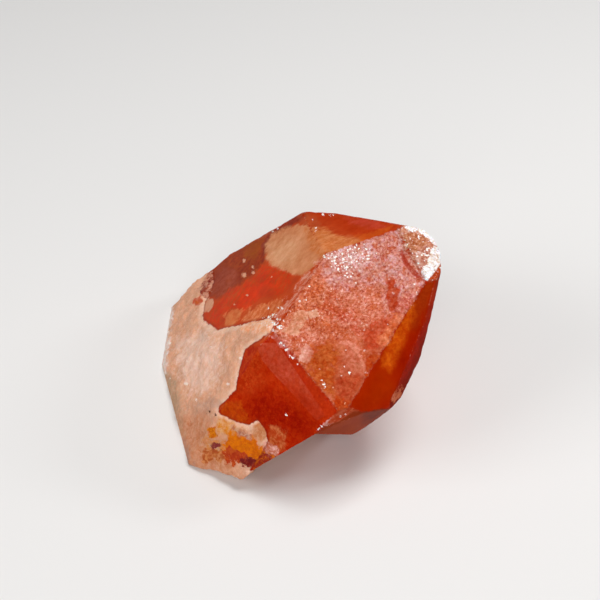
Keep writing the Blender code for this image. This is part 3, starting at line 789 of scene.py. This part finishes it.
def crystal_surface():
    """The crystal with its fine relief, and with the distances that its material reads."""
    bm = cad_mesh()
    edge_tree = crystal_edges(bm)
    refine(bm)
    mesh = bpy.data.meshes.new("crystal_surface")
    bm.to_mesh(mesh)
    bm.free()
    points = rows(mesh.vertices, "co") / MM
    corner_normals = rows(mesh.vertex_normals, "vector")
    triangles = rows(mesh.polygons, "vertices", np.int32)
    facets = facet_depths(points, triangles, rows(mesh.polygon_normals, "vector"))
    milky = milky_depth(points)
    edge_distance = np.array([edge_tree.find(point)[2] for point in points])

    seen = photo_pixels(points)
    for name, zone in {**ZONES, **SPARKLING, "quiet_part": QUIET_PART}.items():
        attribute(mesh, name, depth_inside(seen, zone.outline) * PIXEL)
    for name, depths in facets.items():
        attribute(mesh, name, depths)
    attribute(mesh, "milky", milky)
    places = np.column_stack([seen, np.zeros(len(seen))])
    mesh.attributes.new("photo_place", "FLOAT_VECTOR", "POINT").data.foreach_set("vector", places.ravel())
    attribute(mesh, "edge_distance", edge_distance)
    facing = corner_normals @ np.array(camera_axes()[2])
    attribute(mesh, "shown", smooth(facing / SHOWN_FADE))

    moved = points + corner_normals * relief(points, facets, milky, edge_distance)[:, None]
    low, high = np.array(cad_box) / MM
    moved = np.clip(moved, low, high)
    mesh.vertices.foreach_set("co", (moved * MM).ravel())
    mesh.update()
    mesh.shade_smooth()
    mesh.set_sharp_from_angle(angle=SHARP_ANGLE)
    crystal = bpy.data.objects.new("red_quartz_crystal", mesh)
    bpy.context.scene.collection.objects.link(crystal)
    return crystal


# The material


class Graph:
    """Short calls for making shader nodes and joining them."""

    def __init__(self, material):
        self.tree = material.node_tree
        self.shader = self.tree.nodes["Principled BSDF"]
        place = self.tree.nodes.new("ShaderNodeTexCoord").outputs["Object"]
        scaled = self.node("ShaderNodeVectorMath", operation="SCALE", Vector=place, Scale=1.0 / MM)
        self.place = scaled.outputs[0]
        # The same place in the crystal's own directions, drawn out along its long axis.
        along = self.node("ShaderNodeMapping", vector_type="TEXTURE", Vector=self.place)
        along.inputs["Rotation"].default_value = STAND.to_euler()
        along.inputs["Scale"].default_value = (1.0, 1.0, STREAK_LENGTH)
        self.streaked = along.outputs["Vector"]

    def node(self, kind, **settings):
        made = self.tree.nodes.new(kind)
        for name, value in settings.items():
            if name in made.inputs:
                self.feed(made.inputs[name], value)
            else:
                setattr(made, name, value)
        return made

    def feed(self, socket, value):
        if isinstance(value, bpy.types.NodeSocket):
            self.tree.links.new(value, socket)
        else:
            socket.default_value = value

    def attribute(self, name):
        return self.node("ShaderNodeAttribute", attribute_name=name).outputs["Fac"]

    def math(self, operation, first, second=0.0):
        made = self.node("ShaderNodeMath", operation=operation)
        self.feed(made.inputs[0], first)
        self.feed(made.inputs[1], second)
        return made.outputs[0]

    def plus(self, first, second):
        return self.math("ADD", first, second)

    def minus(self, first, second):
        return self.math("SUBTRACT", first, second)

    def times(self, first, second):
        return self.math("MULTIPLY", first, second)

    def vector(self, operation, first, second):
        made = self.node("ShaderNodeVectorMath", operation=operation)
        self.feed(made.inputs[0], first)
        self.feed(made.inputs[1], second)
        return made

    def noise(self, size, detail=2.0, roughness=0.5, distortion=0.0, place=None):
        """Noise from 0 to 1, with features of a size in millimetres."""
        made = self.node(
            "ShaderNodeTexNoise",
            Vector=place or self.place,
            Scale=1.0 / size,
            Detail=detail,
            Roughness=roughness,
            Distortion=distortion,
        )
        return made.outputs["Fac"]

    def wobble(self, size, detail, roughness, distortion=0.0):
        """Noise from about -1 to 1, with features of a size in millimetres."""
        return self.times(self.minus(self.noise(size, detail, roughness, distortion), 0.5), 4.0)

    def cells(self, size):
        return self.node("ShaderNodeTexVoronoi", Vector=self.place, Scale=1.0 / size).outputs["Distance"]

    def sparkles(self, size, share, ragged):
        """Painted glints: ragged bright grains in a share of the cells of a size."""
        made = self.node("ShaderNodeTexVoronoi", Vector=self.place, Scale=1.0 / size)
        random = self.node("ShaderNodeSeparateColor", Color=made.outputs["Color"])
        chosen = self.step(self.plus(random.outputs[0], share), 1.0, 1.02)
        reach = self.step(random.outputs[1], 0.0, 1.0, *SPARKLE_REACH)
        away = self.plus(made.outputs["Distance"], self.times(ragged, SPARKLE_FRAY))
        return self.times(chosen, self.step(self.minus(away, reach), SPARKLE_BLUR, -SPARKLE_BLUR))

    def step(self, value, low, high, start=0.0, end=1.0):
        """A smooth change from start to end as the value goes from low to high."""
        made = self.node("ShaderNodeMapRange", interpolation_type="SMOOTHSTEP")
        names = ("Value", "From Min", "From Max", "To Min", "To Max")
        for name, setting in zip(names, (value, low, high, start, end)):
            self.feed(made.inputs[name], setting)
        return made.outputs["Result"]

    def layer(self, name, value):
        """How much a named layer covers, from the value that brings it out."""
        start, full, share = LAYERS[name]
        return self.step(value, start, full, 0.0, share)

    def mix(self, factor, first, second):
        made = self.node("ShaderNodeMix", data_type="RGBA")
        self.feed(made.inputs["Factor"], factor)
        for socket, colour in ((made.inputs[6], first), (made.inputs[7], second)):
            self.feed(socket, (*colour, 1.0) if isinstance(colour, tuple) else colour)
        return made.outputs[2]

    def blend(self, factor, first, second):
        """A mix of two numbers."""
        made = self.node("ShaderNodeMix", data_type="FLOAT")
        for socket, value in zip(made.inputs[:1] + made.inputs[2:4], (factor, first, second)):
            self.feed(socket, value)
        return made.outputs[0]


class Texture:
    """The noises that the quartz's layers share, each with its size, detail, roughness and distortion."""

    def __init__(self, graph):
        self.broad = graph.wobble(BROAD_SIZE, 3.0, 0.55, 0.4)
        self.ragged = graph.wobble(RAGGED_SIZE, 6.0, 0.65, 0.3)
        self.fine = graph.wobble(FINE_SIZE, 4.0, 0.7)
        self.mottle = graph.step(graph.noise(MOTTLE_SIZE, 5.0, 0.65), *MOTTLE)
        self.grain = graph.noise(GRAIN_SIZE, 6.0, 0.75)
        self.varied = graph.layer("second_colour", graph.noise(VARIED_SIZE, 6.0, 0.7, 0.4))
        self.blotches = graph.noise(BLOTCH_SIZE, 6.0, 0.65, 0.5)
        self.patches = graph.noise(PATCH_SIZE, 5.0, 0.6, 0.3)
        self.streaks = graph.noise(STREAK_SIZE, 5.0, 0.65, place=graph.streaked)


def facet_mask(graph, name, texture):
    """The share of a facet at each point, with a slightly uneven edge."""
    depth = graph.plus(graph.attribute(name), graph.times(texture.ragged, FACET_RAGGED))
    depth = graph.plus(depth, graph.times(texture.fine, FACET_FRAY))
    return graph.step(depth, -FACET_BLUR, FACET_BLUR)


def zone_mask(graph, name, zone, texture, facets):
    """The share of a zone at each point, with a ragged edge and an uneven inside."""
    inside = graph.plus(graph.attribute(name), graph.times(texture.ragged, zone.ragged))
    inside = graph.plus(inside, graph.times(texture.fine, zone.ragged * ZONE_FRAY))
    mask = graph.times(graph.step(inside, -zone.soft, zone.soft, 0.0, zone.strength), texture.mottle)
    mask = graph.math("MINIMUM", mask, 1.0)
    if zone.facets:
        allowed = facets[zone.facets[0]]
        for facet in zone.facets[1:]:
            allowed = graph.plus(allowed, facets[facet])
        mask = graph.times(mask, graph.math("MINIMUM", allowed, 1.0))
    return mask


def paint_zones(graph, colour, group, texture, facets, shown=1.0):
    for name, zone in ZONES.items():
        if zone.group != group:
            continue
        own = graph.mix(texture.varied, zone.colour, zone.second) if zone.second else zone.colour
        mask = graph.times(zone_mask(graph, name, zone, texture, facets), shown)
        colour = graph.mix(mask, colour, own)
    return colour


def deepen(graph, colour, depth):
    """Multiplies a colour by a depth near 1, green and blue more than red, as deeper stone would."""
    square = graph.times(depth, depth)
    tint = graph.node("ShaderNodeCombineColor", Red=depth, Green=square, Blue=graph.times(square, depth))
    return graph.vector("MULTIPLY", colour, tint.outputs[0]).outputs["Vector"]


def hidden_colour(graph, texture):
    """The cloudy red quartz of the sides that the photograph doesn't show."""
    clouds = graph.noise(CLOUD_SIZE, 5.0, 0.6, 0.6)
    colour = graph.mix(graph.layer("hidden_orange", texture.patches), DEEP_RED, ORANGE_RED)
    colour = graph.mix(graph.layer("hidden_cloud", clouds), colour, CLOUD)
    return graph.mix(graph.layer("hidden_smoke", clouds), colour, SMOKY_BROWN)


def frosted_colour(graph, colour, texture, frosted, tip):
    """The blotches, wiggly lines, pits and grains of the frosted face, and the zones that lie over them."""
    colour = graph.mix(graph.times(frosted, graph.layer("salmon", texture.blotches)), colour, SALMON)
    colour = graph.mix(graph.times(frosted, graph.layer("pink", texture.blotches)), colour, PINK)
    bend = graph.math("ABSOLUTE", graph.wobble(LINE_SIZE, 3.0, 0.6, 1.0))
    lines = graph.times(frosted, graph.layer("lines", bend))
    lines = graph.times(lines, graph.layer("line_places", texture.patches))
    colour = graph.mix(lines, colour, CRIMSON)
    quiet = zone_mask(graph, "quiet_part", QUIET_PART, texture, {})
    grainy = graph.plus(frosted, graph.times(tip, TIP_GRAIN))
    grainy = graph.times(grainy, graph.minus(1.0, quiet))
    dark = graph.times(grainy, graph.layer("dark_grains", texture.grain))
    pale = graph.times(grainy, graph.layer("pale_grains", texture.grain))
    pale = graph.times(pale, graph.step(texture.patches, *PALE_GRAIN_PLACES))
    colour = graph.mix(dark, colour, DARK_SPECK)
    colour = graph.mix(pale, colour, PALE_SPECK)
    return paint_zones(graph, colour, "late", texture, {"frosted_face": frosted, "chipped_tip": tip})


def front_colour(graph, texture, facets):
    """The side that the photograph shows: one colour for each face, then its zones."""
    front = DEEP_RED
    for name, facet_colour in FACET_COLOURS.items():
        second = SECOND_FACET_COLOURS.get(name, facet_colour)
        front = graph.mix(facets[name], front, graph.mix(texture.varied, facet_colour, second))
    front = paint_zones(graph, front, "red", texture, facets)
    return frosted_colour(graph, front, texture, facets["frosted_face"], facets["chipped_tip"])


def veiled_colour(graph, colour, texture, grainy, lower_left, shown):
    """Adds the veils and streaks inside the clear stone, and lets all noises deepen the colour."""
    clear = graph.minus(graph.minus(1.0, grainy), graph.times(lower_left, shown))
    colour = graph.mix(graph.times(clear, graph.layer("veils", texture.streaks)), colour, VEIL)
    granular = graph.plus(grainy, graph.times(lower_left, LOWER_LEFT_GRAIN))
    depth = graph.plus(graph.times(texture.broad, BROAD_DEPTH), graph.times(texture.ragged, RAGGED_DEPTH))
    depth = graph.plus(depth, graph.times(texture.fine, graph.blend(granular, CLEAR_DEPTH, GRAINY_DEPTH)))
    depth = graph.plus(depth, graph.times(graph.minus(texture.streaks, 0.5), STREAK_DEPTH))
    depth = graph.math("MAXIMUM", graph.plus(depth, 1.0), LEAST_DEPTH)
    return deepen(graph, colour, graph.math("MINIMUM", depth, MOST_DEPTH))


def milky_colour(graph, milky, texture, facets, shown):
    """The milky root: pale, streaked and grainy, with a painted highlight along its lip."""
    colour = graph.mix(graph.layer("root_shade", texture.patches), CREAM, CREAM_DARK)
    colour = graph.mix(graph.layer("root_streaks", texture.streaks), colour, CREAM_LIGHT)
    colour = graph.mix(graph.layer("root_blotches", texture.blotches), colour, CREAM_DARK)
    # A painted highlight along the lip of the root.
    colour = graph.mix(graph.layer("root_lip_highlight", milky), colour, CREAM_LIGHT)
    colour = graph.mix(graph.layer("root_pale_grains", texture.grain), colour, CREAM_LIGHT)
    colour = graph.mix(graph.layer("root_dark_grains", texture.grain), colour, CREAM_DARK)
    colour = paint_zones(graph, colour, "root", texture, facets, shown)
    depth = graph.times(texture.ragged, ROOT_RAGGED_DEPTH)
    depth = graph.plus(depth, graph.times(texture.fine, ROOT_FINE_DEPTH))
    return deepen(graph, colour, graph.plus(depth, 1.0))


def sparkling(graph, texture, facets, grainy, in_root, shown):
    """The painted sparkles, glints painted into the colour, most of all on the frosted face."""
    share = graph.times(grainy, GRAINY_SPARKLES)
    for name, zone in SPARKLING.items():
        inside = graph.times(zone_mask(graph, name, zone, texture, facets), shown)
        share = graph.plus(share, inside)
    share = graph.plus(share, graph.times(in_root, ROOT_SPARKLES))
    large, small = (graph.sparkles(size, share, texture.fine) for size in SPARKLE_SIZES)
    return graph.math("MAXIMUM", large, small)


def spot_colours(graph, colour, texture, shown):
    """Small spots: painted glints (highlights painted into the colour), pale dots and dark specks."""
    place = graph.node("ShaderNodeAttribute", attribute_name="photo_place").outputs["Vector"]
    bend = graph.node("ShaderNodeTexNoise", Vector=graph.place, Scale=1.0 / SPOT_BEND_SIZE, Detail=2.0)
    bend = graph.vector("SUBTRACT", bend.outputs["Color"], (0.5, 0.5, 0.5)).outputs["Vector"]
    bend = graph.vector("MULTIPLY", bend, (SPOT_BEND, SPOT_BEND, 0.0)).outputs["Vector"]
    place = graph.vector("ADD", place, bend).outputs["Vector"]
    frayed = graph.times(texture.fine, SPOT_FRAY)
    for spot_colour, spots in SPOTS:
        for across, down, radius in spots:
            away = graph.vector("DISTANCE", place, (across, down, 0.0)).outputs["Value"]
            near = graph.step(graph.plus(away, frayed), radius * SPOT_REACH, radius * SPOT_HEART)
            colour = graph.mix(graph.times(near, shown), colour, spot_colour)
    return colour


def surface(graph, texture, frosted, tip, in_root, shown):
    """Roughness, gloss and fine bumps."""
    rough = graph.blend(frosted, GLASS_ROUGHNESS, graph.step(texture.grain, *FROST_ROUGHNESS))
    rough = graph.blend(tip, rough, TIP_ROUGHNESS)
    graph.feed(graph.shader.inputs["Roughness"], graph.blend(in_root, rough, ROOT_ROUGHNESS))

    # The sides that the photograph doesn't show have a thin gloss.
    gloss = graph.times(graph.blend(shown, HIDDEN_GLOSS, 0.0), graph.minus(1.0, in_root))
    graph.feed(graph.shader.inputs["Coat Weight"], gloss)
    graph.shader.inputs["Coat Roughness"].default_value = GLOSS_ROUGHNESS

    grains = graph.cells(BUMP_GRAIN_SIZE)
    height = graph.times(graph.plus(frosted, tip), graph.plus(texture.grain, grains))
    root_grain = graph.plus(graph.times(texture.fine, ROOT_FINE_BUMP), graph.times(grains, ROOT_GRAIN_BUMP))
    height = graph.plus(height, graph.times(in_root, root_grain))
    height = graph.plus(height, graph.times(texture.patches, BROAD_BUMP))
    bump = graph.node("ShaderNodeBump", Height=height, Distance=BUMP_HEIGHT * MM)
    bump.inputs["Strength"].default_value = 1.0
    graph.feed(graph.shader.inputs["Normal"], bump.outputs["Normal"])


def quartz_material():
    material = bpy.data.materials.new("red_quartz")
    material.use_nodes = True
    graph = Graph(material)
    texture = Texture(graph)
    shown = graph.attribute("shown")
    facets = {name: facet_mask(graph, name, texture) for name in FACETS}
    frosted, tip, lower_left = (facets[name] for name in ("frosted_face", "chipped_tip", "lower_left_face"))
    grainy = graph.times(graph.plus(frosted, tip), shown)

    colour = graph.mix(shown, hidden_colour(graph, texture), front_colour(graph, texture, facets))
    colour = veiled_colour(graph, colour, texture, grainy, lower_left, shown)

    # Worn edges are pale here and there: the pale colour is partly wear and partly a painted glint along the
    # edges.
    wear_and_glint = graph.plus(graph.attribute("edge_distance"), graph.times(texture.fine, WEAR_AND_GLINT_FRAY))
    wear_and_glint = graph.minus(wear_and_glint, graph.times(texture.ragged, WEAR_AND_GLINT_RAGGED))
    colour = graph.mix(graph.layer("wear_and_glint", wear_and_glint), colour, WORN_EDGE_AND_GLINT)

    # The milky root, with a painted highlight on its lip over a thin painted shadow line where it meets the
    # red stone.
    milky = graph.plus(graph.attribute("milky"), graph.times(texture.fine, ROOT_FRAY))
    milky = graph.plus(milky, graph.times(texture.ragged, ROOT_RAGGED))
    in_root = graph.layer("root", milky)
    # A thin painted shadow just outside the root's lip.
    colour = graph.mix(graph.layer("lip_shadow", milky), colour, LIP_SHADOW)
    colour = graph.mix(in_root, colour, milky_colour(graph, milky, texture, facets, shown))

    # Painted sparkles: glints painted into the colour.
    painted_glints = sparkling(graph, texture, facets, grainy, in_root, shown)
    colour = graph.mix(painted_glints, colour, GLINT)
    colour = spot_colours(graph, colour, texture, shown)
    graph.feed(graph.shader.inputs["Base Color"], colour)
    surface(graph, texture, frosted, tip, in_root, shown)

    graph.shader.inputs["Metallic"].default_value = 0.0
    graph.shader.inputs["IOR"].default_value = QUARTZ_IOR
    graph.shader.inputs["Specular IOR Level"].default_value = SHINE
    graph.shader.inputs["Subsurface Weight"].default_value = GLOW_SHARE
    graph.shader.inputs["Subsurface Radius"].default_value = GLOW_RADIUS
    graph.shader.inputs["Subsurface Scale"].default_value = GLOW_DEPTH * MM
    return material


# The studio


def plain_material(name, colour, roughness):
    material = bpy.data.materials.new(name)
    material.use_nodes = True
    shader = material.node_tree.nodes["Principled BSDF"]
    shader.inputs["Base Color"].default_value = (*colour, 1.0)
    shader.inputs["Roughness"].default_value = roughness
    return material


def floor():
    bm = bmesh.new()
    bmesh.ops.create_grid(bm, x_segments=8, y_segments=8, size=FLOOR_HALF_SIZE)
    mesh = bpy.data.meshes.new("floor")
    bm.to_mesh(mesh)
    bm.free()
    plane = bpy.data.objects.new("floor", mesh)
    bpy.context.scene.collection.objects.link(plane)
    mesh.materials.append(plain_material("pale_floor", FLOOR_COLOUR, FLOOR_ROUGHNESS))


def area_light(name, towards, distance, size, power):
    """A square soft light, seen from the crystal in a direction."""
    data = bpy.data.lights.new(name, "AREA")
    data.size = size
    data.energy = power
    light = bpy.data.objects.new(name, data)
    direction = Vector(towards).normalized()
    light.location = CAMERA_TARGET * MM + direction * distance
    light.rotation_mode = "QUATERNION"
    light.rotation_quaternion = direction.to_track_quat("Z", "Y")
    bpy.context.scene.collection.objects.link(light)


def studio():
    world = bpy.data.worlds.new("studio")
    world.use_nodes = True
    background = world.node_tree.nodes["Background"]
    background.inputs["Color"].default_value = (*WORLD_COLOUR, 1.0)
    background.inputs["Strength"].default_value = WORLD_STRENGTH
    bpy.context.scene.world = world
    for light in LIGHTS:
        area_light(*light)
    bpy.context.scene.view_settings.view_transform = "Standard"


def camera():
    right, up, back = camera_axes()
    data = bpy.data.cameras.new("camera")
    data.sensor_width = SENSOR
    data.lens = PHOTO_DISTANCE / PHOTO_SIZE * SENSOR
    data.clip_start = CLIP_START
    seeing = bpy.data.objects.new("camera", data)
    seeing.location = (CAMERA_TARGET + back * PHOTO_DISTANCE * PIXEL) * MM
    seeing.rotation_mode = "QUATERNION"
    seeing.rotation_quaternion = Matrix((right, up, back)).transposed().to_quaternion()
    bpy.context.scene.collection.objects.link(seeing)
    bpy.context.scene.camera = seeing


camera()
studio()
floor()
crystal = crystal_surface()
crystal.data.materials.append(quartz_material())
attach(crystal, BODY)
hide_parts(NODE)
